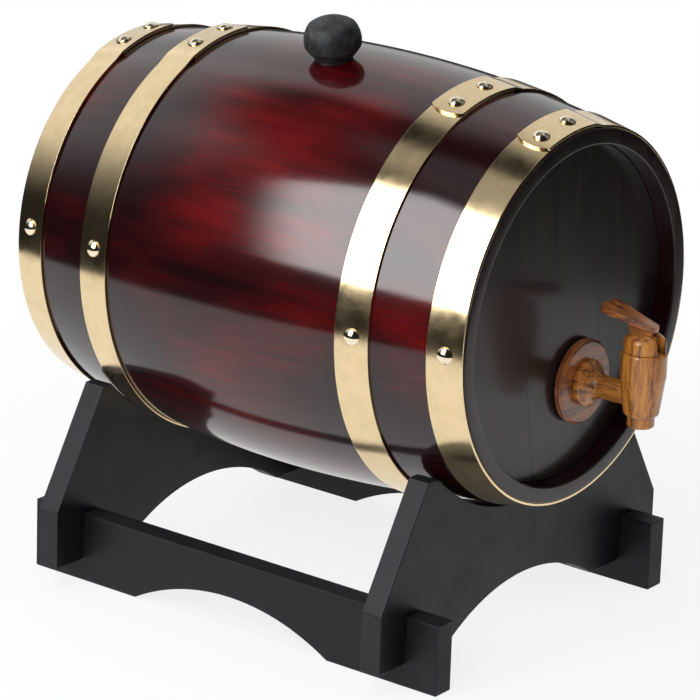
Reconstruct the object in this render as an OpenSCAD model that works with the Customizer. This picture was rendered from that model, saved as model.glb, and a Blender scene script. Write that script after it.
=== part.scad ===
// Oak cask liquor dispenser: an eighteen-stave cask with four riveted hoops, a bung and a
// turned wooden tap with a cam lever, lying on a cross-lapped stand.
// Frame: mm, +Z up, tap towards -Y, origin at the middle of the bounding box on the ground.

/* [Cask] */
// length over the chimes
cask_len = 280; // [230:1:340]
// outside diameter at the bilge
bilge_d = 217; // [180:1:262]
// depth of the staves' bow
bow = 15.3; // [12:0.1:19]
// stave thickness
stave_t = 9.6; // [8:0.1:12]
// number of staves
stave_n = 18; // [15:1:20]
// turn of the cask in its cradle, seen from the tap end
cask_turn = 9; // [0:0.5:15]
// cask's shift to the rear of the stand's middle
cask_shift = 5.9; // [-8:0.1:8]

/* [Heads] */
// thickness of a head
head_t = 10; // [8:0.5:12]
// depth of the head below the chime's end
head_recess = 10; // [7:0.5:14]
// thickness of the tongue on the head's edge
tongue_t = 4; // [3:0.1:5]
// depth of the groove that holds the tongue
croze_depth = 3.4; // [2.5:0.1:4]
// wall left between the chime's bore and its outer edge
chime_wall = 7.9; // [6.5:0.1:9.5]
// width of the middle head board
board_w = 62; // [50:1:70]

/* [Hoops] */
// hoop width
hoop_w = 18.3; // [14:0.1:22]
// sheet thickness of a hoop
hoop_t = 1.2; // [0.8:0.1:1.6]
// wood left showing outside the outer hoops
hoop_edge = 0.8; // [0.4:0.1:2]
// bare wood between an outer and an inner hoop
hoop_space = 30.6; // [24:0.2:37]
// diameter of the nail and rivet heads
stud_d = 8.4; // [6:0.1:9.5]
// height of the nail and rivet heads
stud_h = 2.2; // [1.4:0.1:2.8]
// diameter of the rivet shanks
rivet_d = 3; // [2:0.1:3.6]
// diameter of the nail shanks
nail_d = 2.4; // [1.8:0.1:3]
// length of a nail below the hoop's face
nail_len = 8; // [6:0.5:9]

/* [Bung] */
// distance of the bung hole behind the cask's middle
bung_y = 1; // [-10:0.5:15]
// diameter of the bung's ball
bung_d = 29.2; // [24:0.2:34]
// height of the bung above the staves
bung_h = 21.8; // [18:0.2:26]
// diameter of the bung's plug
plug_d = 18.4; // [15:0.2:22.2]
// depth of the plug below the stave's face
plug_depth = 15; // [11:0.5:20]

/* [Tap] */
// sideways place of the tap on the head
tap_x = 17; // [0:0.5:20]
// drop of the tap below the cask's axis
tap_drop = 39; // [30:0.5:50]
// distance from the head's face to the valve's axis
tap_reach = 38.3; // [34:0.1:46]
// diameter of the rosette against the head
rosette_d = 43; // [36:0.5:50]
// thickness of the rosette
rosette_t = 4.1; // [3:0.1:6]
// thickness of the sealing ring behind the rosette
gasket_t = 1.2; // [0.8:0.1:2]
// diameter of the collar
collar_d = 23.8; // [20:0.2:28]
// diameter of the tap's neck and shank
neck_d = 11.8; // [10:0.1:13]
// diameter of the valve body's upper band
valve_d = 22.9; // [20:0.1:26]
// diameter of the valve body's lower end
valve_low_d = 17.8; // [15:0.1:20]
// outside diameter of the outlet
outlet_d = 13.7; // [12:0.1:15]
// bore of the outlet
outlet_bore = 8; // [6:0.1:9]
// bore of the shank
shank_bore = 7; // [5:0.1:8]
// diameter of the valve chamber
chamber_d = 13; // [12:0.1:15.6]
// diameter of the valve stem
stem_d = 3.4; // [2.8:0.1:3.8]

/* [Lever] */
// diameter of the slotted cap on the valve body
cap_d = 20.8; // [18:0.1:21.4]
// height of the cap's dome
cap_h = 10; // [9:0.1:10.4]
// width of the lever's tongue in the cap's slot
lever_w = 6.6; // [6:0.1:8]
// length of the paddle
paddle_len = 31.3; // [28:0.1:36]
// width of the paddle's pad at the cask's end
pad_w = 14.6; // [12:0.1:18]
// width of the paddle at the tap's front
tip_w = 6.8; // [5:0.1:8]
// thickness of the paddle
paddle_t = 2.8; // [2.2:0.1:3.4]
// how far the paddle's tip stands ahead of the stem's axis
paddle_ahead = 7.2; // [6:0.1:9]
// rise of the paddle towards the cask
paddle_rise = 12.8; // [5:0.1:16]
// pivot's place ahead of the stem's axis
pivot_ahead = 2.6; // [1.8:0.1:4]
// pivot's height above the valve body's top
pivot_up = 6.6; // [6:0.1:8]
// angle the lever is pressed through
lever_travel = 35; // [20:1:35]
// valve lift at full travel
lift = 3; // [2:0.1:3.4]
// diameter of the pivot pin
pin_d = 2.2; // [1.8:0.1:2.6]

/* [Stand] */
// board thickness
board_t = 12; // [9.5:0.5:14.5]
// ground clearance of the cradle plates
cradle_lift = 11.6; // [9.6:0.2:14]
// how far a cradle plate's bends stand out past the bilge
cradle_margin = 9.1; // [5:0.1:15]
// height of the bend in the plate's side
bend_z = 41.8; // [38:0.2:50]
// half width of the arch under a cradle plate
cradle_arch_w = 61.5; // [51:0.5:66]
// height of the arch under a cradle plate
cradle_arch_h = 18.9; // [15:0.1:23]
// wood between the saddle and the arch
cradle_web = 38.2; // [30:0.2:46]
// what the saddle's radius has over the cask's
saddle_play = 4.8; // [0.4:0.1:8]
// angle that the saddle wraps each side of straight down
saddle_wrap = 45.8; // [38:0.1:52]
// flat on top of a horn
horn_flat = 6.6; // [5:0.1:10]
// distance from a chime's end back to the inner face of its cradle plate
cradle_inset = 43.2; // [38:0.2:48]
// overhang of a rail past a cradle plate
rail_over = 19.5; // [14:0.1:24]
// height of a rail
rail_h = 36.4; // [32:0.2:40]
// distance from a plate's bend in to a rail's outer face
rail_inset = 19.6; // [16:0.1:24]
// half width of the arch under a rail
rail_arch_w = 61.5; // [51:0.5:66]
// height of the arch under a rail
rail_arch_h = 16.5; // [12:0.1:18]

/* [Hidden] */
$fn = 72;
// clearance between pieces of one body
fit = 0.1;
// clearance between pieces that leave or move
free = 0.3;
// clearance round a running pin or stem
run = 0.06;
fine = 360;

half = cask_len / 2;
pitch = 360 / stave_n;
chime_d = bilge_d - 2 * bow;
chime_bore_r = chime_d / 2 - chime_wall;
bow_r = (half * half + bow * bow) / (2 * bow);
bow_c = bilge_d / 2 - bow_r;
// radius of the staves' outer face at a distance from the cask's middle
function stave_r(y) = bow_c + sqrt(bow_r * bow_r - y * y);

head_y = half - head_recess;
tongue_y = head_y - head_t / 2;
croze_r = chime_bore_r + croze_depth;
outer_hoop_y = half - hoop_edge - hoop_w;
hoop_inner_y = outer_hoop_y - hoop_space - hoop_w;
// clearance that keeps a straight hoop off the bowed staves
hoop_gap = 0.12;

// how far the paddle reaches past the pivot towards the front
lever_nose = paddle_ahead - pivot_ahead;
// the tap's front and the rear chime set the frame's middle
valve_y = -(head_y + tap_reach);
front_y = valve_y - max(valve_d / 2, paddle_ahead);
cask_y = -(front_y + half) / 2;
stand_y = cask_y - cask_shift;

// stand, worked out from the cask that it carries
cradle_y = half - cradle_inset + board_t;
cradle_w = bilge_d + 2 * cradle_margin;
rail_len = 2 * (cradle_y + rail_over);
rail_x = cradle_w / 2 - rail_inset - board_t / 2;
lap_z = (cradle_lift + rail_h) / 2;
saddle_r = stave_r(cradle_y - board_t) + saddle_play;
axis_z = cradle_lift + cradle_arch_h + cradle_web + free + saddle_r - saddle_play;
saddle_top = axis_z + saddle_play - free;
horn_z = saddle_top - saddle_r * cos(saddle_wrap);
horn_w = 2 * (saddle_r * sin(saddle_wrap) + 0.6 + horn_flat);
tap_z = axis_z - tap_drop;

// hoop angles, from +X towards +Z
lap_tip = 110.1;
lap_step = 83;
lap_gap_from = 85;
rivet_phi = [104.7, 92];
nail_front = 179;
nail_rear = 174;

// valve heights from the tap's axis
valve_top = 23.7;
band_low = 9.6;
taper_low = -8.9;
outlet_low = -14.8;
seat_z = -4;
seal_stud_d = 2.4;
bonnet_low = 16.5;
spring_low = 1.2;
spring_high = bonnet_low - fit;
pivot_z = valve_top + pivot_up;
slot_w = stem_d + 2 * fit;
// depth at which the shank stops short of the chamber
socket = chamber_d / 2 + 0.55;
cam_gap = fit;
cam_r = pivot_up - cam_gap;
cam_k = lift / (lever_travel * PI / 180);

// puts a shape turned about +Z on the cask's axis, its top towards the tap
module on_cask(phi = 0) {
    translate([0, cask_y, axis_z]) rotate([90, 0, 0]) rotate([0, 0, phi]) children();
}

// ---------------------------------------------------------------- staves and heads

module stave_profile() {
    difference() {
        intersection() {
            translate([bow_c, 0]) circle(r = bow_r, $fn = fine);
            translate([chime_bore_r - stave_t, -half]) square([bilge_d, cask_len]);
        }
        translate([bow_c, 0]) circle(r = bow_r - stave_t, $fn = fine);
        for (s = [-1, 1]) {
            // straight wall above the head and round it
            translate([0, s > 0 ? head_y - head_t - free : -half - 1])
                square([chime_bore_r, head_recess + head_t + free + 1]);
            // croze
            translate([0, s * tongue_y - tongue_t / 2 - free])
                square([croze_r + free, tongue_t + 2 * free]);
            // broken inner edge of the chime
            translate([chime_bore_r, s * half]) rotate(45) square(1.2, center = true);
        }
    }
}

module stave(i) {
    mid = 90 + cask_turn + i * pitch;
    difference() {
        on_cask(mid - pitch / 2 + 0.03) rotate_extrude(angle = pitch - 0.06) stave_profile();
        if (i == 0) on_cask(mid) translate([0, 0, -bung_y]) rotate([0, 90, 0])
            cylinder(h = bilge_d, d = plug_d + 2 * free);
        for (h = [0:3]) for (far = [0, 180]) {
            phi = (h < 2 ? nail_front : nail_rear) + far;
            off = (phi - mid + 720 + 180) % 360 - 180;
            if (abs(off) < pitch / 2 + 2) nail_shank(h, phi, nail_d / 2 + fit, fit);
        }
    }
}

module head_profile() {
    rim = chime_bore_r - free;
    polygon([[0, -head_t / 2], [rim - 3, -head_t / 2], [rim, -tongue_t / 2], [croze_r, -tongue_t / 2],
             [croze_r, tongue_t / 2], [rim, tongue_t / 2], [rim, head_t / 2], [0, head_t / 2]]);
}

module head_board(end, i) {
    side = (chime_d - board_w) / 2;
    x0 = i == 0 ? -chime_d / 2 : i == 1 ? -board_w / 2 + fit / 2 : board_w / 2 + fit / 2;
    w = i == 1 ? board_w - fit : side - fit / 2;
    difference() {
        on_cask(cask_turn) intersection() {
            translate([0, 0, end * tongue_y])
                mirror([0, 0, end < 0 ? 1 : 0]) rotate_extrude() head_profile();
            translate([x0, -chime_d / 2, end * tongue_y - head_t])
                cube([w, chime_d, 2 * head_t]);
        }
        if (end > 0 && i == 1) at_tap() rotate([90, 0, 0])
            translate([0, 0, -tap_reach * 2]) cylinder(h = tap_reach * 2, d = neck_d + 2 * fit);
    }
}

// ---------------------------------------------------------------- hoops

// hoops run from the tap end: 0 and 1 in front, 2 and 3 behind
function hoop_lo(h) = h == 0 ? outer_hoop_y : h == 1 ? hoop_inner_y
    : h == 2 ? -hoop_inner_y - hoop_w : -outer_hoop_y - hoop_w;
function hoop_r(v) = stave_r(v) + hoop_gap;
function hoop_mid(h) = hoop_lo(h) + hoop_w / 2;
// slope of a hoop's face and its radius at mid width
function hoop_tilt(h) = atan((hoop_r(hoop_lo(h) + hoop_w) - hoop_r(hoop_lo(h))) / hoop_w);
function hoop_mid_r(h) = (hoop_r(hoop_lo(h)) + hoop_r(hoop_lo(h) + hoop_w)) / 2;

module strip(h, layer) {
    lo = hoop_lo(h);
    hi = lo + hoop_w;
    // the outer layer bites a little into the inner one and is a hair narrower
    a = layer * (hoop_t - 0.1);
    b = (layer + 1) * hoop_t;
    s = layer * 0.1;
    polygon([[hoop_r(lo) + a, lo + s], [hoop_r(lo) + b, lo + s],
             [hoop_r(hi) + b, hi - s], [hoop_r(hi) + a, hi - s]]);
}

// frame on a hoop's face: +Z outwards, at an angle and a height above the inner face
module on_hoop(h, phi, up) {
    on_cask(phi) translate([hoop_mid_r(h), 0, hoop_mid(h)]) rotate([0, 90 + hoop_tilt(h), 0])
        translate([0, 0, up]) children();
}

module hoop(h) {
    tongue_r = hoop_w * 0.92;
    tongue_in = 9.2;
    difference() {
        union() {
            // single layer, open behind the inner end
            on_cask(lap_gap_from) rotate_extrude(angle = 359) strip(h, 0);
            // outer layer, stepped over the inner end and rounded at its tip
            difference() {
                on_cask(lap_step) rotate_extrude(angle = lap_tip + 1 - lap_step) strip(h, 1);
                on_hoop(h, lap_tip - tongue_in, -hoop_t) difference() {
                    translate([-hoop_w, 0, 0]) cube([2 * hoop_w, 2 * tongue_r, 6 * hoop_t]);
                    translate([0, 0, -1]) cylinder(h = 7 * hoop_t, r = tongue_r);
                }
            }
        }
        for (p = rivet_phi) on_hoop(h, p, -2) cylinder(h = 9, d = rivet_d + 2 * fit);
        for (far = [0, 180]) on_hoop(h, (h < 2 ? nail_front : nail_rear) + far, -2)
            cylinder(h = 9, d = nail_d + 2 * fit);
    }
}

module stud(d = stud_d) {
    r = (d * d / 4 + stud_h * stud_h) / (2 * stud_h);
    rotate_extrude() intersection() {
        translate([0, stud_h - r]) circle(r = r);
        square([d, stud_h]);
    }
}

module rivets(h) {
    for (p = rivet_phi) on_hoop(h, p, 2 * hoop_t + 0.02) {
        stud();
        translate([0, 0, -2 * hoop_t + fit]) cylinder(h = 2 * hoop_t, d = rivet_d);
    }
}

module nail_shank(h, phi, r, extra) {
    on_hoop(h, phi, -nail_len - extra) cylinder(h = nail_len + extra + hoop_t + 0.03, r = r);
}

module nails(h) {
    for (far = [0, 180]) {
        phi = (h < 2 ? nail_front : nail_rear) + far;
        on_hoop(h, phi, hoop_t + 0.02) stud();
        nail_shank(h, phi, nail_d / 2, 0);
    }
}

// ---------------------------------------------------------------- bung

module bung() {
    r = bung_d / 2;
    top = bung_h;
    mid = top - 11.4;
    seam = mid - 3.4;
    on_cask(90 + cask_turn) translate([bilge_d / 2, 0, -bung_y]) rotate([0, 90, 0])
        union() {
            // ball with a flatter crown
            rotate_extrude() intersection() {
                translate([0, mid - 1]) circle(r = r);
                translate([0, top - 20]) circle(r = 20);
                translate([0, seam]) square([r + 1, top]);
            }
            // plug, its shoulder and its taper into the hole
            rotate_extrude() polygon([[0, seam + 1], [r - 1.6, seam + 1], [r - 1.2, seam],
                [plug_d / 2, 0.5], [plug_d / 2, -plug_depth + 3], [plug_d / 2 - 1, -plug_depth],
                [0, -plug_depth]]);
        }
}

// ---------------------------------------------------------------- tap

// tap's axis at the front head's face, +Y into the cask
module at_tap() {
    translate([tap_x, cask_y - head_y, tap_z]) children();
}

// valve axis at the height of the tap's axis
module at_valve() {
    translate([tap_x, cask_y + valve_y, tap_z]) children();
}

module tap_gasket() {
    at_tap() rotate([90, 0, 0]) difference() {
        cylinder(h = gasket_t, d = rosette_d - 3);
        translate([0, 0, -1]) cylinder(h = gasket_t + 2, d = neck_d + 2 * fit);
    }
}

module tap_rosette() {
    lip = 1.5;
    at_tap() rotate([90, 0, 0]) difference() {
        translate([0, 0, gasket_t]) rotate_extrude() difference() {
            square([rosette_d / 2, rosette_t]);
            // groove between the thin back ring and the turned face
            translate([rosette_d / 2, lip]) circle(r = 0.5, $fn = 24);
            // softened front edge
            translate([rosette_d / 2, rosette_t]) rotate(45) square(2, center = true);
        }
        cylinder(h = 3 * rosette_t, d = neck_d + 2 * fit);
    }
}

module tap_shank() {
    base = gasket_t + rosette_t + fit;
    collar_t = 3.6;
    cone = 6.5;
    tail = 24;
    at_tap() rotate([90, 0, 0]) difference() {
        rotate_extrude() polygon([
            [0, -tail], [neck_d / 2 - 1.4, -tail], [neck_d / 2, -tail + 9],
            [neck_d / 2, base], [collar_d / 2, base], [collar_d / 2, base + collar_t - 1],
            [collar_d / 2 - 1.2, base + collar_t], [neck_d / 2 + 1.6, base + collar_t + 2.6],
            [neck_d / 2, base + collar_t + cone], [neck_d / 2, tap_reach - socket],
            [0, tap_reach - socket]]);
        translate([0, 0, -tail - 1]) cylinder(h = tail + tap_reach, d = shank_bore);
    }
}

module tap_body() {
    at_valve() difference() {
        rotate_extrude() difference() {
            polygon([[0, outlet_low], [outlet_d / 2 - 0.6, outlet_low], [outlet_d / 2, outlet_low + 0.8],
                     [outlet_d / 2, taper_low], [valve_low_d / 2 - 1, taper_low],
                     [valve_low_d / 2, taper_low + 1.2], [valve_d / 2 - 0.3, band_low],
                     [valve_d / 2, band_low + 1], [valve_d / 2, valve_top - 1.2],
                     [valve_d / 2 - 1, valve_top], [0, valve_top]]);
            // chamber and outlet
            translate([-1, seat_z]) square([chamber_d / 2 + 1, valve_top - seat_z + 1]);
            translate([-1, outlet_low - 1]) square([outlet_bore / 2 + 1, valve_top]);
        }
        // socket for the shank and its way into the chamber
        rotate([-90, 0, 0]) translate([0, 0, socket - fit]) cylinder(h = valve_d, d = neck_d + 2 * fit);
        rotate([-90, 0, 0]) cylinder(h = valve_d, d = shank_bore);
    }
}

// plug in the chamber and the slotted dome on top of it, which holds the lever's tongue upright
module tap_bonnet() {
    wall_h = 5.2;
    slot = lever_w + 2 * free;
    base = valve_top + fit;
    at_valve() difference() {
        rotate_extrude() polygon(concat(
            [[0, bonnet_low], [chamber_d / 2 - fit, bonnet_low], [chamber_d / 2 - fit, base],
             [cap_d / 2 - 0.4, base], [cap_d / 2, base + 0.5]],
            [for (a = [0:10:90]) [cap_d / 2 * cos(a), valve_top + wall_h + (cap_h - wall_h) * sin(a)]]));
        translate([-slot / 2, -cap_d, valve_top]) cube([slot, 2 * cap_d, cap_h + 1]);
        translate([0, 0, bonnet_low - 1]) cylinder(h = valve_top, d = stem_d + 2 * run);
    }
}

module valve_stem() {
    flange_z = seat_z + 2.8;
    tang_z = valve_top + 0.5;
    at_valve() {
        translate([0, 0, flange_z]) cylinder(h = tang_z - flange_z + 1, d = stem_d);
        translate([0, 0, flange_z]) cylinder(h = spring_low - fit - flange_z, d = chamber_d - 3);
        // stud that holds the seal
        translate([0, 0, seat_z + 0.3]) cylinder(h = flange_z - seat_z, d = seal_stud_d);
        difference() {
            translate([-stem_d / 2, 0, 0]) rotate([90, 0, 90]) linear_extrude(stem_d)
                polygon([[-pivot_ahead - 2.6, tang_z + 1.2], [-pivot_ahead - 1.6, tang_z],
                         [stem_d / 2 + 0.6, tang_z], [stem_d / 2 + 0.6, pivot_z - 1],
                         [stem_d / 2 - 1, pivot_z + 1.2], [-pivot_ahead, pivot_z + 2.6],
                         [-pivot_ahead - 2.6, pivot_z + 1.2]]);
            translate([0, -pivot_ahead, pivot_z]) rotate([0, 90, 0])
                cylinder(h = lever_w, d = pin_d + 2 * run, center = true);
        }
    }
}

module valve_seal() {
    at_valve() translate([0, 0, seat_z + 0.2]) difference() {
        cylinder(h = 2.5, d = chamber_d - 2.4);
        translate([0, 0, -1]) cylinder(h = 5, d = seal_stud_d + 2 * fit);
    }
}

// compression spring round the stem: a round wire wound as rings of six points
module valve_spring() {
    turns = 6;
    per = 8;
    sides = 6;
    wire_r = 0.45;
    coil_r = stem_d / 2 + 1.5;
    n = turns * per;
    len = spring_high - spring_low - 2 * wire_r;
    function centre(i) = [coil_r * cos(360 * i / per), coil_r * sin(360 * i / per), len * i / n];
    least = min([for (i = [0:n]) for (j = [i + per / 2:1:n]) norm(centre(i) - centre(j))]) - 2 * wire_r;
    echo(str("least gap of the spring to itself: ", least, " mm"));
    pts = [for (i = [0:n]) for (j = [0:sides - 1])
        let (a = 360 * i / per, b = 360 * j / sides, rr = coil_r + wire_r * cos(b))
        [rr * cos(a), rr * sin(a), spring_low + wire_r + len * i / n + wire_r * sin(b)]];
    side = [for (i = [0:n - 1]) for (j = [0:sides - 1])
        let (p = i * sides + j, q = i * sides + (j + 1) % sides)
        each [[p, p + sides, q + sides], [p, q + sides, q]]];
    ends = [[for (j = [0:sides - 1]) j], [for (j = [sides - 1:-1:0]) n * sides + j]];
    at_valve() polyhedron(points = pts, faces = concat(side, ends));
}

// points on a circle's arc
function arc(x, y, r, from, to, n = 6) =
    [for (i = [0:n]) let (a = from + (to - from) * i / n) [x + r * cos(a), y + r * sin(a)]];

// height of the paddle's top above the pivot where it ends at the front
paddle_z = pivot_up + 0.3;

// tongue's outline about the pivot: +X towards the cask, +Y up, up to the middle of the paddle
module tongue_outline() {
    steps = 7;
    back = pivot_ahead + 6.9;
    under = paddle_z - paddle_t / 2;
    rise = tan(paddle_rise);
    // flat-faced cam with a constant lift for each degree
    cam = [for (i = [0:steps])
        let (a = lever_travel * i / steps, p = cam_r + lift * i / steps)
        [p * sin(a) + cam_k * cos(a), -p * cos(a) + cam_k * sin(a)]];
    polygon(concat(cam, [[back, -2.2], [back, 1], [back + 0.5, 4.6], [back + 2, 6.8],
        [back + 4.5, under + rise * (back + 4.5 + lever_nose)], [-2.6, under + 0.1],
        [-3.1, 2], [-3.1, -3], [-2.2, -cam_r + 1.2], [-0.8, -cam_r]]));
}

// paddle seen from above: narrow and round at the front, with a wider pad towards the cask
module paddle_plan() {
    tip = tip_w / 2;
    pad = pad_w / 2;
    round = 4;
    polygon(concat(arc(tip, 0, tip, 97, 263), [[paddle_len * 0.58, -pad + 1.7], [paddle_len * 0.68, -pad + 0.2]],
        arc(paddle_len - round, -pad + round, round, -90, 0), arc(paddle_len - round, pad - round, round, 0, 90),
        [[paddle_len * 0.68, pad - 0.2], [paddle_len * 0.58, pad - 1.7]]));
}

module lever() {
    at_valve() translate([0, -pivot_ahead, pivot_z]) {
        difference() {
            translate([-lever_w / 2, 0, 0]) rotate([90, 0, 90]) linear_extrude(lever_w) tongue_outline();
            // slot for the stem's tang
            translate([-slot_w / 2, -pivot_ahead - 6, -2 * cam_r]) cube([slot_w, 24, 2 * cam_r + 4.1]);
            rotate([0, 90, 0]) cylinder(h = 2 * lever_w, d = pin_d + 2 * run, center = true);
        }
        translate([0, -lever_nose, paddle_z]) rotate([paddle_rise, 0, 0]) translate([0, 0, -paddle_t])
            rotate(90) linear_extrude(paddle_t) paddle_plan();
    }
}

module lever_pin() {
    at_valve() translate([0, -pivot_ahead, pivot_z]) rotate([0, 90, 0])
        cylinder(h = lever_w - 2 * fit, d = pin_d, center = true);
}

// ---------------------------------------------------------------- stand

module cradle_face(y_in) {
    arch_r = (cradle_arch_w * cradle_arch_w + cradle_arch_h * cradle_arch_h) / (2 * cradle_arch_h);
    saddle_low = axis_z - stave_r(y_in) - free;
    difference() {
        polygon([[-cradle_w / 2, cradle_lift], [cradle_w / 2, cradle_lift], [cradle_w / 2, bend_z],
                 [horn_w / 2, horn_z], [-horn_w / 2, horn_z], [-cradle_w / 2, bend_z]]);
        translate([0, saddle_low + saddle_r]) circle(r = saddle_r, $fn = 180);
        translate([-horn_w / 2 + horn_flat, horn_z - 1]) square([horn_w - 2 * horn_flat, 4]);
        translate([0, cradle_lift + cradle_arch_h - arch_r]) circle(r = arch_r, $fn = 180);
        for (s = [-1, 1]) translate([s * rail_x - board_t / 2 - fit, cradle_lift - 1])
            square([board_t + 2 * fit, lap_z - cradle_lift + 1 + fit]);
    }
}

module cradle(end) {
    y_in = cradle_y - board_t + end * cask_shift;
    y = stand_y - end * cradle_y + (end > 0 ? board_t : 0);
    translate([0, y, 0]) rotate([90, 0, 0]) linear_extrude(board_t) cradle_face(y_in);
}

module rail(side) {
    arch_r = (rail_arch_w * rail_arch_w + rail_arch_h * rail_arch_h) / (2 * rail_arch_h);
    translate([side * rail_x - board_t / 2, stand_y, 0]) rotate([90, 0, 90]) linear_extrude(board_t)
        difference() {
            translate([-rail_len / 2, 0]) square([rail_len, rail_h]);
            translate([0, rail_arch_h - arch_r]) circle(r = arch_r, $fn = 180);
            for (s = [-1, 1]) translate([s * (cradle_y - board_t / 2) - board_t / 2 - fit, lap_z - fit])
                square([board_t + 2 * fit, rail_h]);
        }
}

// ---------------------------------------------------------------- nodes

oak = [0.35, 0.03, 0.03];
brass = [0.8, 0.65, 0.35];
dark = [0.12, 0.12, 0.13];
tan = [0.7, 0.42, 0.16];

for (i = [0:stave_n - 1]) color(oak) stave(i);
for (i = [0:2]) color(dark) head_board(1, i);
for (i = [0:2]) color(dark) head_board(-1, i);
color(brass) hoop(0);  // hoop_front_outer
color(brass) hoop(1);  // hoop_front_inner
color(brass) hoop(2);  // hoop_rear_inner
color(brass) hoop(3);  // hoop_rear_outer
color(brass) rivets(0);  // rivets_front_outer
color(brass) rivets(1);  // rivets_front_inner
color(brass) rivets(2);  // rivets_rear_inner
color(brass) rivets(3);  // rivets_rear_outer
color(brass) nails(0);  // nails_front_outer
color(brass) nails(1);  // nails_front_inner
color(brass) nails(2);  // nails_rear_inner
color(brass) nails(3);  // nails_rear_outer
color(dark) bung();
color(dark) tap_gasket();
color(tan) tap_rosette();
color(tan) tap_shank();
color(tan) tap_body();
color(tan) tap_bonnet();
color(tan) valve_stem();
color(dark) valve_seal();
color(brass) valve_spring();
color(tan) lever();
color(brass) lever_pin();
color(dark) cradle(1);  // cradle_front
color(dark) cradle(-1);  // cradle_rear
color(dark) rail(-1);  // rail_left
color(dark) rail(1);  // rail_right
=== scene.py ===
import math

import bmesh
import bpy
from mathutils import Matrix, Vector, noise


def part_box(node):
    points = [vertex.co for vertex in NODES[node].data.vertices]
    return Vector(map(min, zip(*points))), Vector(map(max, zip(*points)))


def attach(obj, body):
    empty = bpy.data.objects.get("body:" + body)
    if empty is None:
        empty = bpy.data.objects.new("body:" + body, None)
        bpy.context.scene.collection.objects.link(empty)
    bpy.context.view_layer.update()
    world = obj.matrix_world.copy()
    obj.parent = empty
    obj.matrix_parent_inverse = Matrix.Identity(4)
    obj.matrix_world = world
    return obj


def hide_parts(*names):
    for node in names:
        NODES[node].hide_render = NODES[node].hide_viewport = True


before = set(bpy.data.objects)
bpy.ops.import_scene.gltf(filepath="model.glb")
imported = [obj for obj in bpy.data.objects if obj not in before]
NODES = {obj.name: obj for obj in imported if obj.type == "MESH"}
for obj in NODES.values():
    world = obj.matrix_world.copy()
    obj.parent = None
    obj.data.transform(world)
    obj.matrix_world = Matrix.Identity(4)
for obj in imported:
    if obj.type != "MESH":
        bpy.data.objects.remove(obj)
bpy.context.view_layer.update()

MM = 0.001


# ---------------------------------------------------------------- the cask's own measures

def node_box(names):
    """Lowest and highest corner of several nodes together."""
    boxes = [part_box(n) for n in names]
    low = Vector([min(b[0][k] for b in boxes) for k in range(3)])
    high = Vector([max(b[1][k] for b in boxes) for k in range(3)])
    return low, high


STAVES = [n for n in NODES if n.startswith("stave_")]
HOOPS = ["front_outer", "front_inner", "rear_inner", "rear_outer"]
cask_low, cask_high = node_box(STAVES)
CASK = (cask_low + cask_high) / 2
HALF = (cask_high.y - cask_low.y) / 2
BILGE_R = (cask_high.z - cask_low.z) / 2
BOW = 15.3 * MM
STAVE_T = 9.6 * MM
CHIME_BORE = 85.3 * MM
CHIME_ROUND = 0.9 * MM
END_GRAIN_IN = 0.75 * MM
HEAD_RECESS = 10 * MM
HEAD_T = 10 * MM
TONGUE_T = 4 * MM
CROZE = 3.4 * MM
BUNG_AT = -1 * MM
BUNG_BORE_R = 9.5 * MM
TURN = 9
PITCH = 360 / len(STAVES)
BOW_R = (HALF * HALF + BOW * BOW) / (2 * BOW)

HOOP_W = 18.3 * MM
HOOP_T = 1.2 * MM
HOOP_GAP = 0.12 * MM
HOOP_STEP = 2.0
HOOP_UP = 0.02 * MM
HOOP_LOW = {
    "front_outer": HALF - 0.8 * MM - HOOP_W,
    "front_inner": 72 * MM,
    "rear_inner": -72 * MM - HOOP_W,
    "rear_outer": -HALF + 0.8 * MM,
}
LAP_TIP = 110.1
LAP_START = 85
RIVET_PHI = (104.7, 92)
LAP_MIDDLE = 98.35
LAP_RISE_BEFORE = 3.5
LAP_RISE = 3.0
NAIL_PHI = {"front": 179, "rear": 174}
STUD_R = 4.2 * MM
STUD_H = 2.2 * MM
STUD_UP = 0.05 * MM
RIVET_SHANK = (1.5 * MM, 2.2 * MM)
NAIL_SHANK = (1.2 * MM, 9 * MM)


def stave_r(v):
    """Radius of the staves' outer face at a distance from the cask's middle."""
    return BILGE_R - BOW_R + math.sqrt(BOW_R * BOW_R - v * v)


def on_cask(r, phi, v):
    """Point at a radius, an angle from +X towards +Z, and a distance from the middle towards the tap."""
    a = math.radians(phi)
    return Vector((CASK.x + r * math.cos(a), CASK.y - v, CASK.z + r * math.sin(a)))


# ---------------------------------------------------------------- mesh tools

def rounded(corners, steps=4):
    """Outline with each (x, y, radius) corner rounded."""
    out = []
    for i, (x, y, radius) in enumerate(corners):
        p = Vector((x, y))
        before = Vector(corners[i - 1][:2]) - p
        after = Vector(corners[(i + 1) % len(corners)][:2]) - p
        if radius <= 0 or before.length == 0 or after.length == 0:
            out.append((x, y))
            continue
        half = before.angle(after) / 2
        reach = min(radius / math.tan(half), 0.45 * before.length, 0.45 * after.length)
        a, b = p + before.normalized() * reach, p + after.normalized() * reach
        for k in range(steps + 1):
            t = k / steps
            q = a * (1 - t) ** 2 + p * 2 * t * (1 - t) + b * t * t
            out.append((q.x, q.y))
    return out


def finish_mesh(name, bm, materials, body, nodes, sharp=35):
    """Turns a bmesh into a piece that rides on a body and stands for CAD nodes."""
    bmesh.ops.remove_doubles(bm, verts=bm.verts, dist=1e-7)
    bmesh.ops.recalc_face_normals(bm, faces=bm.faces)
    mesh = bpy.data.meshes.new(name)
    bm.to_mesh(mesh)
    bm.free()
    mesh.shade_smooth()
    mesh.set_sharp_from_angle(angle=math.radians(sharp))
    for m in materials:
        mesh.materials.append(m)
    piece = bpy.data.objects.new(name, mesh)
    bpy.context.scene.collection.objects.link(piece)
    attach(piece, body)
    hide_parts(*nodes)
    return piece


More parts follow.
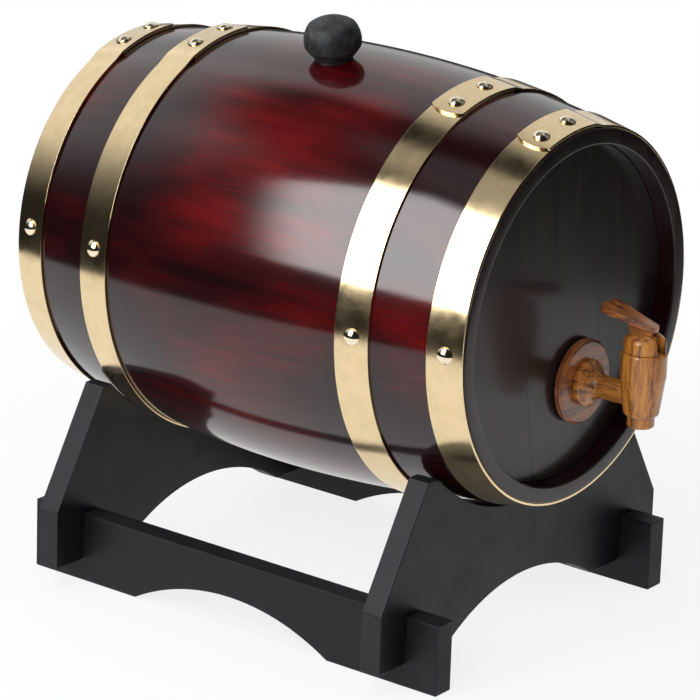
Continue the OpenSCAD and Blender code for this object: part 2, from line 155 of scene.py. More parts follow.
def sweep(bm, rings, closed=False):
    """Joins rings of points into a tube, with a cap on each end where it isn't closed."""
    verts = [[bm.verts.new(p) for p in ring] for ring in rings]
    count = len(verts[0])
    spans = len(verts) if closed else len(verts) - 1
    for i in range(spans):
        a, b = verts[i], verts[(i + 1) % len(verts)]
        for j in range(count):
            k = (j + 1) % count
            bm.faces.new((a[j], a[k], b[k], b[j]))
    if not closed:
        bm.faces.new(verts[0])
        bm.faces.new(list(reversed(verts[-1])))


def revolve(bm, profile, place, segments=72, lump=None):
    """Turns a closed (radius, height) outline about the Z axis of a place."""
    rings = []
    for i in range(segments):
        a = 2 * math.pi * i / segments
        ring = []
        for r, z in profile:
            grow = 1 if lump is None else lump(r, a, z)
            ring.append(place @ Vector((r * grow * math.cos(a), r * grow * math.sin(a), z)))
        rings.append(ring)
    sweep(bm, rings, closed=True)


def softened(node, materials, body, width, steps=2, edge_material=None):
    """A copy of a CAD node with its arrises rounded."""
    bm = bmesh.new()
    bm.from_mesh(NODES[node].data)
    bmesh.ops.remove_doubles(bm, verts=bm.verts, dist=1e-6)
    bmesh.ops.dissolve_limit(bm, angle_limit=math.radians(0.5), verts=bm.verts, edges=bm.edges)
    if edge_material is not None:
        for face in bm.faces:
            face.material_index = edge_material(face.normal)
    sharp = [e for e in bm.edges if len(e.link_faces) == 2 and e.calc_face_angle() > math.radians(30)]
    bmesh.ops.bevel(bm, geom=sharp, offset=width, segments=steps, profile=0.5, affect="EDGES",
                    clamp_overlap=True)
    piece = finish_mesh("soft_" + node, bm, materials, body, [node], sharp=40)
    weighted = piece.modifiers.new("normals", "WEIGHTED_NORMAL")
    weighted.keep_sharp = True
    return piece


# ---------------------------------------------------------------- material tools

def node_tree(name):
    """A new material with a Principled shader; returns the material, its tree and the shader."""
    material = bpy.data.materials.new(name)
    material.use_nodes = True
    tree = material.node_tree
    return material, tree, tree.nodes["Principled BSDF"]


def add(tree, kind, inputs=None, **settings):
    """Adds a node; an input takes a value or another node's output."""
    made = tree.nodes.new(kind)
    for key, value in settings.items():
        setattr(made, key, value)
    for key, value in (inputs or {}).items():
        if isinstance(value, bpy.types.NodeSocket):
            tree.links.new(value, made.inputs[key])
        else:
            made.inputs[key].default_value = value
    return made


def stretched(tree, scale, offset=(0, 0, 0)):
    """Object coordinates in metres, scaled along each axis."""
    place = add(tree, "ShaderNodeTexCoord")
    return add(tree, "ShaderNodeMapping", {"Vector": place.outputs["Object"], "Scale": scale,
                                           "Location": offset}).outputs["Vector"]


def cloud(tree, vector, scale=1.0, detail=4.0, rough=0.5, distortion=0.0):
    """Noise value between 0 and 1."""
    return add(tree, "ShaderNodeTexNoise", {"Vector": vector, "Scale": scale, "Detail": detail,
                                            "Roughness": rough, "Distortion": distortion}).outputs["Fac"]


def ramp(tree, value, stops):
    """Colours along a value."""
    made = add(tree, "ShaderNodeValToRGB", {"Fac": value})
    line = made.color_ramp.elements
    while len(line) < len(stops):
        line.new(0.5)
    for element, (at, colour) in zip(line, stops):
        element.position = at
        element.color = (*colour, 1)
    return made.outputs["Color"]


def grey(tree, value, stops):
    """A value remapped through a ramp of greys."""
    return ramp(tree, value, [(at, (g, g, g)) for at, g in stops])


def mixed(tree, factor, a, b):
    """Two colours or values mixed by a factor."""
    made = add(tree, "ShaderNodeMix", data_type="RGBA", blend_type="MIX")
    for socket, value in zip((made.inputs[0], made.inputs[6], made.inputs[7]), (factor, a, b)):
        if isinstance(value, bpy.types.NodeSocket):
            tree.links.new(value, socket)
        elif isinstance(value, tuple):
            socket.default_value = (*value, 1)
        else:
            socket.default_value = value
    return made.outputs[2]


def relief(tree, height, distance, strength=1.0, below=None):
    """Bump of a real depth in metres."""
    inputs = {"Height": height, "Distance": distance, "Strength": strength}
    if below is not None:
        inputs["Normal"] = below
    return add(tree, "ShaderNodeBump", inputs).outputs["Normal"]


def maths(tree, operation, a, b=0.0):
    return add(tree, "ShaderNodeMath", {0: a, 1: b}, operation=operation).outputs[0]


def link(tree, value, shader, socket):
    tree.links.new(value, shader.inputs[socket])


# ---------------------------------------------------------------- materials

DARKER_FROM = 30 * MM
DARKER_TO = 85 * MM
DARKER_BY = 0.11


def darker_ends(tree):
    """How much darker the base colour gets towards both heads."""
    place = add(tree, "ShaderNodeTexCoord")
    along = add(tree, "ShaderNodeSeparateXYZ", {"Vector": place.outputs["Object"]}).outputs["Y"]
    away = maths(tree, "ABSOLUTE", maths(tree, "SUBTRACT", along, CASK.y))
    deeper = add(tree, "ShaderNodeMapRange", {"Value": away, "From Min": DARKER_FROM,
                                              "From Max": DARKER_TO, "To Max": DARKER_BY},
                 interpolation_type="SMOOTHSTEP")
    return deeper.outputs["Result"]


def lacquered_oak():
    """Deep red stain over oak, streaked along the staves, under a clear gloss lacquer."""
    material, tree, shader = node_tree("lacquered_oak")
    patches = cloud(tree, stretched(tree, (17, 6.5, 17), (0.31, 0.12, 0.05)), 1, 3, 0.55)
    streaks = cloud(tree, stretched(tree, (150, 9, 150)), 1, 4, 0.6)
    fine = cloud(tree, stretched(tree, (900, 30, 900)), 1, 3, 0.6)
    depth = mixed(tree, 0.2, patches, streaks)
    depth = mixed(tree, 0.06, depth, fine)
    depth = maths(tree, "SUBTRACT", depth, darker_ends(tree))
    colour = ramp(tree, depth, [(0.39, (0.0095, 0.0007, 0.0015)), (0.47, (0.028, 0.0008, 0.0016)),
                                (0.54, (0.062, 0.001, 0.0018)), (0.65, (0.15, 0.002, 0.002))])
    link(tree, colour, shader, "Base Color")
    link(tree, grey(tree, fine, [(0.3, 0.34), (0.7, 0.46)]), shader, "Roughness")
    shader.inputs["Specular IOR Level"].default_value = 0.03
    shader.inputs["Coat Weight"].default_value = 1.0
    shader.inputs["Coat Roughness"].default_value = 0.11
    shader.inputs["Coat IOR"].default_value = 1.56
    swell = relief(tree, cloud(tree, stretched(tree, (60, 12, 60)), 1, 2, 0.5), 0.00012, 0.5)
    bump = relief(tree, streaks, 0.00006, 0.5, swell)
    link(tree, bump, shader, "Normal")
    link(tree, bump, shader, "Coat Normal")
    return material


def head_oak():
    """Nearly black stain, the same lacquer, grain across the boards."""
    material, tree, shader = node_tree("head_oak")
    grain = cloud(tree, stretched(tree, (240, 60, 22)), 1, 4, 0.6)
    patches = cloud(tree, stretched(tree, (14, 14, 9), (0.2, 0, 0.4)), 1, 3, 0.5)
    tone = mixed(tree, 0.4, patches, grain)
    colour = ramp(tree, tone, [(0.38, (0.006, 0.0035, 0.0036)), (0.6, (0.017, 0.0095, 0.0098))])
    link(tree, colour, shader, "Base Color")
    link(tree, grey(tree, grain, [(0.3, 0.3), (0.7, 0.42)]), shader, "Roughness")
    shader.inputs["Specular IOR Level"].default_value = 0.2
    shader.inputs["Coat Weight"].default_value = 0.4
    shader.inputs["Coat Roughness"].default_value = 0.16
    bump = relief(tree, grain, 0.00005, 0.4)
    link(tree, bump, shader, "Normal")
    link(tree, bump, shader, "Coat Normal")
    return material


def polished_brass(name, tone, smooth):
    """Sheet brass with a hand polish: soft waves, faint scratches and dull patches."""
    material, tree, shader = node_tree(name)
    waves = cloud(tree, stretched(tree, (55, 55, 55), (0.1, 0.7, 0.2)), 1, 2, 0.5)
    stains = cloud(tree, stretched(tree, (120, 120, 120)), 1, 4, 0.6)
    scratches = cloud(tree, stretched(tree, (300, 2600, 300)), 1, 3, 0.7)
    dull = tuple(0.86 * c for c in tone)
    colour = mixed(tree, grey(tree, stains, [(0.45, 0), (0.75, 0.7)]), tone, dull)
    link(tree, colour, shader, "Base Color")
    shader.inputs["Metallic"].default_value = 1.0
    rough = grey(tree, stains, [(0.35, smooth), (0.7, smooth + 0.07)])
    link(tree, rough, shader, "Roughness")
    bump = relief(tree, scratches, 0.000004, 0.5, relief(tree, waves, 0.0003, 0.35))
    link(tree, bump, shader, "Normal")
    return material


def turned_wood(name, along, light=(0.5, 0.19, 0.024), dark=(0.08, 0.018, 0.004)):
    """Reddish turned wood with dark pores and streaks along one direction, under varnish."""
    material, tree, shader = node_tree(name)
    pull = [1.0 if k != along else 0.09 for k in range(3)]
    wide = cloud(tree, stretched(tree, [p * 300 for p in pull], (0.3, 0.1, 0.7)), 1, 4, 0.6, 0.5)
    thin = cloud(tree, stretched(tree, [p * 1500 for p in pull]), 1, 3, 0.6)
    tone = mixed(tree, 0.35, wide, thin)
    mid = tuple(0.55 * a + 0.45 * b for a, b in zip(light, dark))
    colour = ramp(tree, tone, [(0.4, dark), (0.49, mid), (0.6, light)])
    link(tree, colour, shader, "Base Color")
    link(tree, grey(tree, thin, [(0.3, 0.36), (0.7, 0.5)]), shader, "Roughness")
    shader.inputs["Coat Weight"].default_value = 0.6
    shader.inputs["Coat Roughness"].default_value = 0.16
    link(tree, relief(tree, tone, 0.00012, 0.5), shader, "Normal")
    return material


def black_paint(name, tone, rough, grit):
    """Satin black paint on board; the cut edges keep some of the board's tooth."""
    material, tree, shader = node_tree(name)
    peel = cloud(tree, stretched(tree, (700, 700, 700)), 1, 3, 0.6)
    wear = cloud(tree, stretched(tree, (60, 60, 60)), 1, 4, 0.6)
    tooth = cloud(tree, stretched(tree, (2200, 2200, 2200)), 1, 2, 0.7)
    lighter = tuple(1.35 * c for c in tone)
    colour = mixed(tree, grey(tree, wear, [(0.4, 0), (0.7, 1)]), tone, lighter)
    link(tree, colour, shader, "Base Color")
    link(tree, grey(tree, wear, [(0.3, rough - 0.06), (0.7, rough + 0.06)]), shader, "Roughness")
    shader.inputs["Specular IOR Level"].default_value = 0.25
    bump = relief(tree, tooth, grit, 0.7, relief(tree, peel, 0.00003, 0.5))
    link(tree, bump, shader, "Normal")
    return material


def bung_black():
    """Matt black paint on turned wood, clouded with grey patches that stand partly for handling marks and
    partly for a painted highlight.
    """
    material, tree, shader = node_tree("bung_paint")
    # grey clouds: partly handling marks, partly a painted highlight on the black paint
    marks_and_painted_highlight = cloud(tree, stretched(tree, (170, 170, 170), (0.4, 0.2, 0.1)), 1, 4, 0.6)
    grit = cloud(tree, stretched(tree, (1100, 1100, 1100)), 1, 3, 0.6)
    colour = ramp(tree, mixed(tree, 0.25, marks_and_painted_highlight, grit), [(0.42, (0.0075, 0.0078, 0.0085)),
                                                          (0.56, (0.022, 0.023, 0.025)),
                                                          (0.68, (0.06, 0.063, 0.066))])
    link(tree, colour, shader, "Base Color")
    link(tree, grey(tree, marks_and_painted_highlight, [(0.3, 0.5), (0.7, 0.64)]), shader, "Roughness")
    shader.inputs["Specular IOR Level"].default_value = 0.4
    link(tree, relief(tree, grit, 0.00008, 0.6), shader, "Normal")
    return material


def plain_rubber():
    """Dark seal rubber, faintly mottled."""
    material, tree, shader = node_tree("seal_rubber_skin")
    mottle = cloud(tree, stretched(tree, (900, 900, 900)), 1, 3, 0.6)
    link(tree, ramp(tree, mottle, [(0.35, (0.012, 0.011, 0.01)), (0.65, (0.03, 0.027, 0.024))]),
         shader, "Base Color")
    shader.inputs["Roughness"].default_value = 0.7
    link(tree, relief(tree, mottle, 0.00004, 0.6), shader, "Normal")
    return material


def spring_wire():
    """Drawn wire with fine lengthwise marks."""
    material, tree, shader = node_tree("spring_wire")
    marks = cloud(tree, stretched(tree, (2400, 2400, 2400)), 1, 3, 0.6)
    link(tree, ramp(tree, marks, [(0.3, (0.42, 0.42, 0.43)), (0.7, (0.6, 0.6, 0.61))]),
         shader, "Base Color")
    shader.inputs["Metallic"].default_value = 1.0
    link(tree, grey(tree, marks, [(0.3, 0.25), (0.7, 0.4)]), shader, "Roughness")
    return material


OAK = lacquered_oak()
HEAD = head_oak()
BRASS = polished_brass("hoop_polish", (0.84, 0.66, 0.39), 0.13)
STUD = polished_brass("stud_polish", (0.93, 0.82, 0.6), 0.1)
TAP_UPRIGHT = turned_wood("tap_wood_upright", 2)
TAP_LENGTHWISE = turned_wood("tap_wood_lengthwise", 1)
TAP_CROSSWISE = turned_wood("tap_wood_crosswise", 0, (0.28, 0.085, 0.018), (0.05, 0.011, 0.004))
LEVER_WOOD = turned_wood("lever_wood", 1, (0.36, 0.11, 0.018), (0.06, 0.013, 0.004))
PAINT = black_paint("stand_face", (0.0055, 0.0054, 0.0072), 0.42, 0.00001)
EDGE = black_paint("stand_edge", (0.011, 0.011, 0.0135), 0.55, 0.00007)
BUNG = bung_black()
RUBBER = plain_rubber()
WIRE = spring_wire()


# ---------------------------------------------------------------- staves

def stave_profile():
    """Closed outline of a stave in (radius, distance towards the tap)."""
    steps = 56
    outer = [HALF * (2 * k / steps - 1) for k in range(steps + 1)]
    points = [(stave_r(v), v, CHIME_ROUND if abs(v) == HALF else 0) for v in outer]
    head_y = HALF - HEAD_RECESS
    groove = head_y - HEAD_T / 2
    deep = CHIME_BORE + CROZE
    lip = TONGUE_T / 2 + 0.3 * MM
    side = [(CHIME_BORE, HALF, 0.8 * MM), (CHIME_BORE, groove + lip, 0), (deep, groove + lip, 0),
            (deep, groove - lip, 0)]
    inner_at = groove - lip
    inner = [(stave_r(v) - STAVE_T, v, 0) for v in
             [inner_at * (1 - 2 * k / 24) for k in range(25)]]
    return rounded(points + side + inner + [(r, -v, e) for r, v, e in reversed(side)])


def set_outer_normals(mesh):
    """Gives the bowed outer face its true normals, so that reflections run on over the seams."""
    normals = [(0.0, 0.0, 0.0)] * len(mesh.loops)
    middle = BILGE_R - BOW_R
    on_face = 0.04 * MM
    for polygon in mesh.polygons:
        spots = []
        for index in polygon.loop_indices:
            p = mesh.vertices[mesh.loops[index].vertex_index].co - CASK
            r = math.hypot(p.x, p.z)
            if abs(p.y) > HALF - CHIME_ROUND or abs(r - stave_r(p.y)) > on_face:
                break
            n = Vector((p.x / r * (r - middle), p.y, p.z / r * (r - middle))).normalized()
            spots.append((index, tuple(n)))
        else:
            for index, n in spots:
                normals[index] = n
    mesh.normals_split_custom_set(normals)


def make_staves():
    profile = stave_profile()
    seam = 0.012
    steps = 10
    for i in range(len(STAVES)):
        middle = 90 + TURN + i * PITCH
        bm = bmesh.new()
        sweep(bm, [[on_cask(r, middle + (PITCH / 2 - seam) * (2 * k / steps - 1), v) for r, v in profile]
                   for k in range(steps + 1)])
        name = f"stave_{i}"
        for face in bm.faces:
            if abs(face.calc_center_median().y - CASK.y) > HALF - END_GRAIN_IN:
                face.material_index = 1
        piece = finish_mesh("oak_" + name, bm, [OAK, HEAD], "cask", [name], sharp=40)
        if i == 0:
            drill(piece, on_cask(BILGE_R, middle, BUNG_AT), on_cask(0, middle, BUNG_AT), BUNG_BORE_R)
        set_outer_normals(piece.data)


def drill(piece, start, towards, radius):
    """Cuts a round hole through a piece along a line."""
    axis = (towards - start).normalized()
    place = Matrix.Translation(start) @ axis.to_track_quat("Z", "Y").to_matrix().to_4x4()
    bm = bmesh.new()
    bmesh.ops.create_cone(bm, cap_ends=True, segments=64, radius1=radius, radius2=radius,
                          depth=60 * MM, matrix=place)
    mesh = bpy.data.meshes.new("drill")
    bm.to_mesh(mesh)
    bm.free()
    tool = bpy.data.objects.new("drill", mesh)
    bpy.context.scene.collection.objects.link(tool)
    cut = piece.modifiers.new("hole", "BOOLEAN")
    cut.operation, cut.solver, cut.object = "DIFFERENCE", "EXACT", tool
    bpy.context.view_layer.update()
    ready = piece.evaluated_get(bpy.context.evaluated_depsgraph_get())
    piece.data = bpy.data.meshes.new_from_object(ready)
    piece.modifiers.clear()
    bpy.data.objects.remove(tool)


# ---------------------------------------------------------------- hoops and studs

def hoop_radius(name, v):
    """Radius of a hoop's inner face, which is a plain cone over the bowed staves."""
    low = HOOP_LOW[name]
    a, b = stave_r(low) + HOOP_GAP, stave_r(low + HOOP_W) + HOOP_GAP
    return a + (b - a) * (v - low) / HOOP_W


def smooth_step(t):
    t = max(0.0, min(1.0, t))
    return t * t * (3 - 2 * t)


def make_hoop(name):
    """One strip of brass that runs round once, steps up over its own end and ends in a round tip.

    The rear hoops' strips run the other way round."""
    radius = hoop_radius(name, HOOP_LOW[name] + HOOP_W / 2)
    tongue = HOOP_W * 0.92
    tip = 360 + LAP_TIP
    tongue_from = tip - math.degrees(tongue / radius)
    angles = [LAP_START + k * HOOP_STEP for k in range(int((tongue_from - LAP_START) / HOOP_STEP))]
    angles += [tongue_from + (tip - tongue_from) * math.sin(math.pi / 2 * k / 28) for k in range(29)]
    rings = []
    for phi in angles:
        over = math.radians(phi - tongue_from) * radius
        wide = HOOP_W / 2 if over <= 0 else min(HOOP_W / 2, math.sqrt(max(tongue ** 2 - over ** 2, 1e-8)))
        up = HOOP_T * smooth_step((phi - 360 - LAP_START + LAP_RISE_BEFORE) / LAP_RISE) + HOOP_UP
        middle = HOOP_LOW[name] + HOOP_W / 2
        flat = wide - min(0.35 * MM, 0.3 * wide)
        section = rounded([(-wide, 0, 0.2 * MM), (wide, 0, 0.2 * MM), (wide, HOOP_T, 0.15 * MM),
                           (flat, HOOP_T, 0), (-flat, HOOP_T, 0), (-wide, HOOP_T, 0.15 * MM)], steps=3)
        at = phi if name.startswith("front") else 2 * LAP_MIDDLE - phi
        rings.append([on_cask(hoop_radius(name, middle + s) + up + h, at, middle + s)
                      for s, h in section])
    bm = bmesh.new()
    sweep(bm, rings)
    finish_mesh("brass_hoop_" + name, bm, [BRASS], "cask", ["hoop_" + name], sharp=60)


def on_hoop(name, phi, up):
    """Place on a hoop's outer side: Z points straight off its face."""
    low = HOOP_LOW[name]
    tilt = math.atan2(hoop_radius(name, low + HOOP_W) - hoop_radius(name, low), HOOP_W)
    a = math.radians(phi)
    out = Vector((math.cos(a), 0, math.sin(a)))
    towards_tap = Vector((0, -1, 0))
    z = out * math.cos(tilt) - towards_tap * math.sin(tilt)
    x = Vector((-math.sin(a), 0, math.cos(a)))
    y = z.cross(x)
    middle = low + HOOP_W / 2
    at = on_cask(hoop_radius(name, middle), phi, middle) + z * up
    return Matrix.Translation(at) @ Matrix((x, y, z)).transposed().to_4x4()


def stud_profile(shank_r, shank_len):
    """Domed head with a thin rim, and its shank."""
    rim = 0.35 * MM
    cap = (STUD_R ** 2 + (STUD_H - rim) ** 2) / (2 * (STUD_H - rim))
    top = [(cap * math.sin(a), STUD_H - cap + cap * math.cos(a))
           for a in [math.asin(STUD_R / cap) * k / 12 for k in range(13)]]
    return [(0, STUD_H)] + top[1:] + [(STUD_R, 0.12 * MM), (STUD_R - 0.12 * MM, 0), (shank_r, 0),
                                      (shank_r, -shank_len), (0, -shank_len)]


def make_studs():
    for name in HOOPS:
        bm = bmesh.new()
        for phi in RIVET_PHI:
            revolve(bm, stud_profile(*RIVET_SHANK), on_hoop(name, phi, 2 * HOOP_T + STUD_UP), 48)
        finish_mesh("studs_rivets_" + name, bm, [STUD], "cask", ["rivets_" + name], sharp=50)
        bm = bmesh.new()
        for phi in (NAIL_PHI[name.split("_")[0]], NAIL_PHI[name.split("_")[0]] + 180):
            revolve(bm, stud_profile(*NAIL_SHANK), on_hoop(name, phi, HOOP_T + STUD_UP), 48)
        finish_mesh("studs_nails_" + name, bm, [STUD], "cask", ["nails_" + name], sharp=50)


# ---------------------------------------------------------------- bung

def make_bung():
    """Turned ball with a flatter crown, a seam round it and a tapered plug."""
    ball, crown = 14.6 * MM, 20 * MM
    ball_z, crown_z = 9.4 * MM, 1.8 * MM
    seam = 7.0 * MM
    meet = (ball ** 2 - crown ** 2 + crown_z ** 2 - ball_z ** 2) / (2 * (crown_z - ball_z))
    cap = math.acos((meet - crown_z) / crown)
    points = [(crown * math.sin(cap * k / 10), crown_z + crown * math.cos(cap * k / 10), 0)
              for k in range(11)]
    start = math.acos((meet - ball_z) / ball)
    end = math.acos((seam - ball_z) / ball)
    points += [(ball * math.sin(start + (end - start) * k / 10),
                ball_z + ball * math.cos(start + (end - start) * k / 10), 0) for k in range(1, 11)]
    rim = points[-1][0]
    points += [(rim - 0.35 * MM, seam - 0.25 * MM, 0), (rim - 0.3 * MM, seam - 0.8 * MM, 0.3 * MM),
               (12.6 * MM, 4.2 * MM, 1.5 * MM), (10.2 * MM, 1.4 * MM, 1.2 * MM),
               (9.2 * MM, 0.2 * MM, 0.4 * MM), (9.2 * MM, -12 * MM, 1 * MM),
               (8.2 * MM, -15 * MM, 0.5 * MM), (0, -15 * MM, 0)]
    middle = 90 + TURN
    z = on_cask(1, middle, 0) - CASK
    x = Vector((0, -1, 0))
    place = (Matrix.Translation(on_cask(BILGE_R, middle, BUNG_AT))
             @ Matrix((x, z.cross(x), z)).transposed().to_4x4())

    def lump(r, a, h):
        spot = Vector((math.cos(a) * r, math.sin(a) * r, h)) * 140
        return 1 - 0.012 * (0.5 + 0.5 * noise.noise(spot)) if h > 1 * MM else 1

    bm = bmesh.new()
    revolve(bm, rounded(points), place, 72, lump)
    finish_mesh("bung_ball", bm, [BUNG], "bung", ["bung"], sharp=40)


# ---------------------------------------------------------------- heads, tap and stand

def dress(node, material):
    """Puts a finished material on a CAD node that stays as it is."""
    for s in NODES[node].material_slots:
        s.material = material


def cradle_edge(normal):
    """Material 0 on a cradle plate's faces and 1 on its cut edges."""
    return 0 if abs(normal.y) > 0.9 else 1


def rail_edge(normal):
    """Material 0 on a rail's faces and 1 on its cut edges."""
    return 0 if abs(normal.x) > 0.9 else 1


def make_heads():
    for end in ("front", "rear"):
        for i in range(3):
            softened(f"{end}_board_{i}", [HEAD], "cask", 0.04 * MM)


def make_tap():
    softened("tap_gasket", [RUBBER], "cask", 0.3 * MM)
    softened("tap_rosette", [TAP_CROSSWISE], "cask", 0.35 * MM)
    softened("tap_shank", [TAP_LENGTHWISE], "cask", 0.35 * MM)
    softened("tap_body", [TAP_UPRIGHT], "cask", 0.3 * MM)
    softened("tap_bonnet", [TAP_UPRIGHT], "cask", 0.2 * MM)
    softened("valve_stem", [TAP_UPRIGHT], "valve", 0.2 * MM)
    softened("lever", [LEVER_WOOD], "lever", 0.6 * MM, 3)
    dress("valve_seal", RUBBER)
    dress("valve_spring", WIRE)
    dress("lever_pin", STUD)


def make_stand():
    for node in ("cradle_front", "cradle_rear"):
        softened(node, [PAINT, EDGE], "stand", 0.55 * MM, 3, cradle_edge)
    for node in ("rail_left", "rail_right"):
        softened(node, [PAINT, EDGE], "stand", 0.55 * MM, 3, rail_edge)


# ---------------------------------------------------------------- floor, light and camera

STUDIO_R = 30.0
STUDIO_OPEN = -0.46     # the dome is open below this share of its radius
STUDIO_DARK = 0.015
TABLE_R = 0.62
TABLE_REACH = 1.2       # the dark floor ends past the dome, at this share of its radius
TABLE_UP = 0.5 * MM
FLOOR_UP = -0.4 * MM
FLOOR_NEAR = 0.82       # glow of the floor near the object; far away it is 1
AMBIENT = 0.55

# the soft box: where each soft edge starts and ends, in degrees
BOX_GLOW = 7.0
BOX_REAR = (56, 64.5)
BOX_FRONT = (92, 98)
BOX_LOW = (7.5, 10.5)
BOX_HIGH = (56, 61)
BOX_LID = (-38, -32)
REAR_LEAN = 0.0085      # degrees of azimuth per square degree of elevation
LID_SLOPE = 1.7         # degrees of elevation per degree of azimuth
OPEN_BEFORE = (-900, -899)
OPEN_AFTER = (900, 901)

# each panel: azimuths where it rises (from, to) and falls (from, to), the same for elevations, radiance;
# left, right, in front and behind are the cask's own, with the tap in front
STUDIO_PANELS = [
    ((-100, -80, -36, -20), (-6, 4, 50, 72), 0.76),    # pale wall on the right
    ((-40, -22, 14, 44), (2, 30, 41, 53), 0.95),       # pale wall behind
    ((-5, 20, 95, 105), (58, 66, 90, 91), 0.37),       # ceiling over the soft box
    ((-181, -180, -60, -35), (56, 68, 91, 92), 0.42),  # ceiling on the right
    ((-175, -160, -120, -105), (8, 14, 50, 60), 0.2),  # pale wall in front, to the right
]


def aimed(obj, at, target):
    """Places an object and points its -Z axis at a target."""
    obj.location = at
    obj.rotation_euler = (Vector(target) - Vector(at)).to_track_quat("-Z", "Y").to_euler()


def around(azimuth, elevation, distance):
    """Point seen from the cask's middle: azimuth from +Y towards -X, in degrees."""
    a, e = math.radians(azimuth), math.radians(elevation)
    return CASK + distance * Vector((-math.sin(a) * math.cos(e), math.cos(a) * math.cos(e), math.sin(e)))


def softbox(name, azimuth, elevation, distance, width, height, radiance):
    """An area light that reflections don't see: they see the dome."""
    light = bpy.data.lights.new(name, "AREA")
    light.shape = "RECTANGLE"
    light.size, light.size_y = width, height
    light.energy = radiance * math.pi * width * height
    obj = bpy.data.objects.new(name, light)
    bpy.context.scene.collection.objects.link(obj)
    obj.visible_glossy = False
    aimed(obj, around(azimuth, elevation, distance), CASK)


def hide_from_all_but_reflections(obj):
    """Leaves an object to glossy rays alone."""
    obj.visible_camera = obj.visible_diffuse = obj.visible_shadow = obj.visible_transmission = False


def glowing(name, mesh, build):
    """Gives a mesh an emission whose strength comes from nodes."""
    material = bpy.data.materials.new(name)
    material.use_nodes = True
    tree = material.node_tree
    tree.nodes.clear()
    glow = add(tree, "ShaderNodeEmission", {"Strength": build(tree)})
    out = add(tree, "ShaderNodeOutputMaterial")
    tree.links.new(glow.outputs[0], out.inputs["Surface"])
    mesh.materials.append(material)


def window(tree, value, rise_from, rise_to, fall_from, fall_to):
    """1 between two edges and 0 outside, each edge soft."""
    edges = []
    for a, b in ((rise_from, rise_to), (fall_to, fall_from)):
        edges.append(add(tree, "ShaderNodeMapRange", {"Value": value, "From Min": a, "From Max": b},
                         interpolation_type="SMOOTHSTEP").outputs["Result"])
    return maths(tree, "MULTIPLY", *edges)


def soft_box_glow(tree, azimuth, elevation):
    """The soft box on the left: its rear side leans back and its top first rises towards the camera."""
    lean = maths(tree, "MULTIPLY", maths(tree, "MULTIPLY", elevation, elevation), REAR_LEAN)
    rear = window(tree, maths(tree, "ADD", azimuth, lean), *BOX_REAR, *OPEN_AFTER)
    top = maths(tree, "SUBTRACT", elevation, maths(tree, "MULTIPLY", azimuth, LID_SLOPE))
    lid = window(tree, top, *OPEN_BEFORE, *BOX_LID)
    box = maths(tree, "MULTIPLY", maths(tree, "MULTIPLY", rear, lid),
                window(tree, elevation, *BOX_LOW, *BOX_HIGH))
    box = maths(tree, "MULTIPLY", box, window(tree, azimuth, *OPEN_BEFORE, *BOX_FRONT))
    return maths(tree, "MULTIPLY", box, BOX_GLOW)


def studio_walls(tree):
    """What the polished surfaces see: a dark studio, a soft box, pale walls and a pale ceiling."""
    place = add(tree, "ShaderNodeTexCoord").outputs["Object"]
    split = add(tree, "ShaderNodeSeparateXYZ", {"Vector": place})
    x, y, z = (split.outputs[k] for k in range(3))
    azimuth = maths(tree, "DEGREES", maths(tree, "ARCTAN2", maths(tree, "MULTIPLY", x, -1.0), y))
    elevation = maths(tree, "DEGREES", maths(tree, "ARCSINE", maths(tree, "DIVIDE", z, STUDIO_R)))
    total = maths(tree, "ADD", soft_box_glow(tree, azimuth, elevation), STUDIO_DARK)
    for azimuths, elevations, radiance in STUDIO_PANELS:
        panel = maths(tree, "MULTIPLY", window(tree, azimuth, *azimuths),
                      window(tree, elevation, *elevations))
        total = maths(tree, "ADD", maths(tree, "MULTIPLY", panel, radiance), total)
    return total


def make_studio():
    """A dome and a table edge that only reflections see."""
    bm = bmesh.new()
    bmesh.ops.create_uvsphere(bm, u_segments=96, v_segments=48, radius=STUDIO_R)
    low = [v for v in bm.verts if v.co.z < STUDIO_OPEN * STUDIO_R]
    bmesh.ops.delete(bm, geom=low, context="VERTS")
    mesh = bpy.data.meshes.new("studio_dome")
    bm.to_mesh(mesh)
    bm.free()
    dome = bpy.data.objects.new("studio_dome", mesh)
    dome.location = CASK
    glowing("studio_walls", mesh, studio_walls)
    bm = bmesh.new()
    count = 96
    turns = [2 * math.pi * k / count for k in range(count)]
    ring = [[bm.verts.new((r * math.cos(a), r * math.sin(a), TABLE_UP)) for a in turns]
            for r in (TABLE_R, STUDIO_R * TABLE_REACH)]
    for k in range(count):
        j = (k + 1) % count
        bm.faces.new((ring[0][k], ring[1][k], ring[1][j], ring[0][j]))
    mesh = bpy.data.meshes.new("table_edge")
    bm.to_mesh(mesh)
    bm.free()
    edge = bpy.data.objects.new("table_edge", mesh)
    glowing("studio_floor", mesh, lambda tree: STUDIO_DARK)
    for obj in (dome, edge):
        bpy.context.scene.collection.objects.link(obj)
        hide_from_all_but_reflections(obj)


def seen(tree):
    """1 for rays that look at the background: camera, glossy and transmission rays."""
    path = add(tree, "ShaderNodeLightPath")
    total = maths(tree, "ADD", path.outputs["Is Camera Ray"], path.outputs["Is Glossy Ray"])
    return add(tree, "ShaderNodeMath", {0: total, 1: path.outputs["Is Transmission Ray"]},
               operation="ADD", use_clamp=True).outputs[0]


def make_world():
    world = bpy.data.worlds.new("studio")
    bpy.context.scene.world = world
    world.use_nodes = True
    tree = world.node_tree
    tree.nodes.clear()
    view = add(tree, "ShaderNodeBackground", {"Color": (1, 1, 1, 1), "Strength": 1.0})
    fill = add(tree, "ShaderNodeBackground", {"Color": (0.97, 0.98, 1, 1), "Strength": AMBIENT})
    both = add(tree, "ShaderNodeMixShader", {"Fac": seen(tree)})
    tree.links.new(fill.outputs[0], both.inputs[1])
    tree.links.new(view.outputs[0], both.inputs[2])
    out = add(tree, "ShaderNodeOutputWorld")
    tree.links.new(both.outputs[0], out.inputs["Surface"])


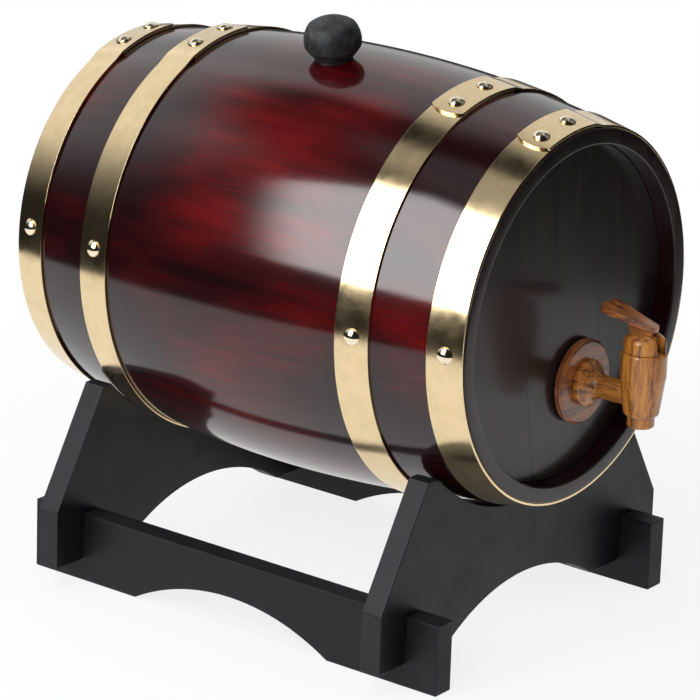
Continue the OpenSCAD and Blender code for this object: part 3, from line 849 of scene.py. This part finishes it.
def make_floor():
    """Pale floor that shows the object's shadow near it and runs out into the white background."""
    bm = bmesh.new()
    bmesh.ops.create_circle(bm, cap_ends=True, segments=64, radius=6)
    mesh = bpy.data.meshes.new("floor")
    bm.to_mesh(mesh)
    bm.free()
    obj = bpy.data.objects.new("floor", mesh)
    bpy.context.scene.collection.objects.link(obj)
    obj.location.z = FLOOR_UP
    material, tree, shader = node_tree("floor_paint")
    shader.inputs["Base Color"].default_value = (0.86, 0.86, 0.86, 1)
    shader.inputs["Roughness"].default_value = 0.8
    shader.inputs["Specular IOR Level"].default_value = 0.1
    place = add(tree, "ShaderNodeTexCoord")
    away = add(tree, "ShaderNodeVectorMath", {0: place.outputs["Object"]}, operation="LENGTH")
    far = add(tree, "ShaderNodeMapRange", {"Value": away.outputs["Value"], "From Min": 0.22,
                                           "From Max": 0.55, "To Min": FLOOR_NEAR},
              interpolation_type="SMOOTHSTEP")
    fade = maths(tree, "MULTIPLY", far.outputs["Result"], seen(tree))
    white = add(tree, "ShaderNodeEmission", {"Color": (1, 1, 1, 1), "Strength": 1.0})
    both = add(tree, "ShaderNodeMixShader", {"Fac": fade})
    tree.links.new(shader.outputs[0], both.inputs[1])
    tree.links.new(white.outputs[0], both.inputs[2])
    tree.links.new(both.outputs[0], tree.nodes["Material Output"].inputs["Surface"])
    mesh.materials.append(material)


def make_camera():
    """The photograph's view, from in front and to the left of the tap."""
    azimuth, elevation, roll = math.radians(-52.98), math.radians(17.35), math.radians(1.89)
    distance = 2.05524
    data = bpy.data.cameras.new("camera")
    data.sensor_width = 36
    data.lens = 209.18
    data.shift_x, data.shift_y = 0.00036, -0.1322
    back = Vector((math.sin(azimuth) * math.cos(elevation), -math.cos(azimuth) * math.cos(elevation),
                   math.sin(elevation)))
    right = (-back).cross(Vector((0, 0, 1))).normalized()
    up = right.cross(-back)
    x = right * math.cos(roll) + up * math.sin(roll)
    y = up * math.cos(roll) - right * math.sin(roll)
    camera = bpy.data.objects.new("camera", data)
    camera.matrix_world = (Matrix.Translation(CASK + back * distance)
                           @ Matrix((x, y, back)).transposed().to_4x4())
    bpy.context.scene.collection.objects.link(camera)
    bpy.context.scene.camera = camera


make_camera()
make_world()
make_floor()
make_studio()
softbox("key", azimuth=92, elevation=30, distance=1.4, width=1.2, height=0.9, radiance=4.5)
softbox("overhead", azimuth=20, elevation=75, distance=1.5, width=1.1, height=1.1, radiance=1.6)

make_staves()
for hoop in HOOPS:
    make_hoop(hoop)
make_studs()
make_bung()
make_heads()
make_tap()
make_stand()

bpy.context.scene.view_settings.view_transform = "Standard"
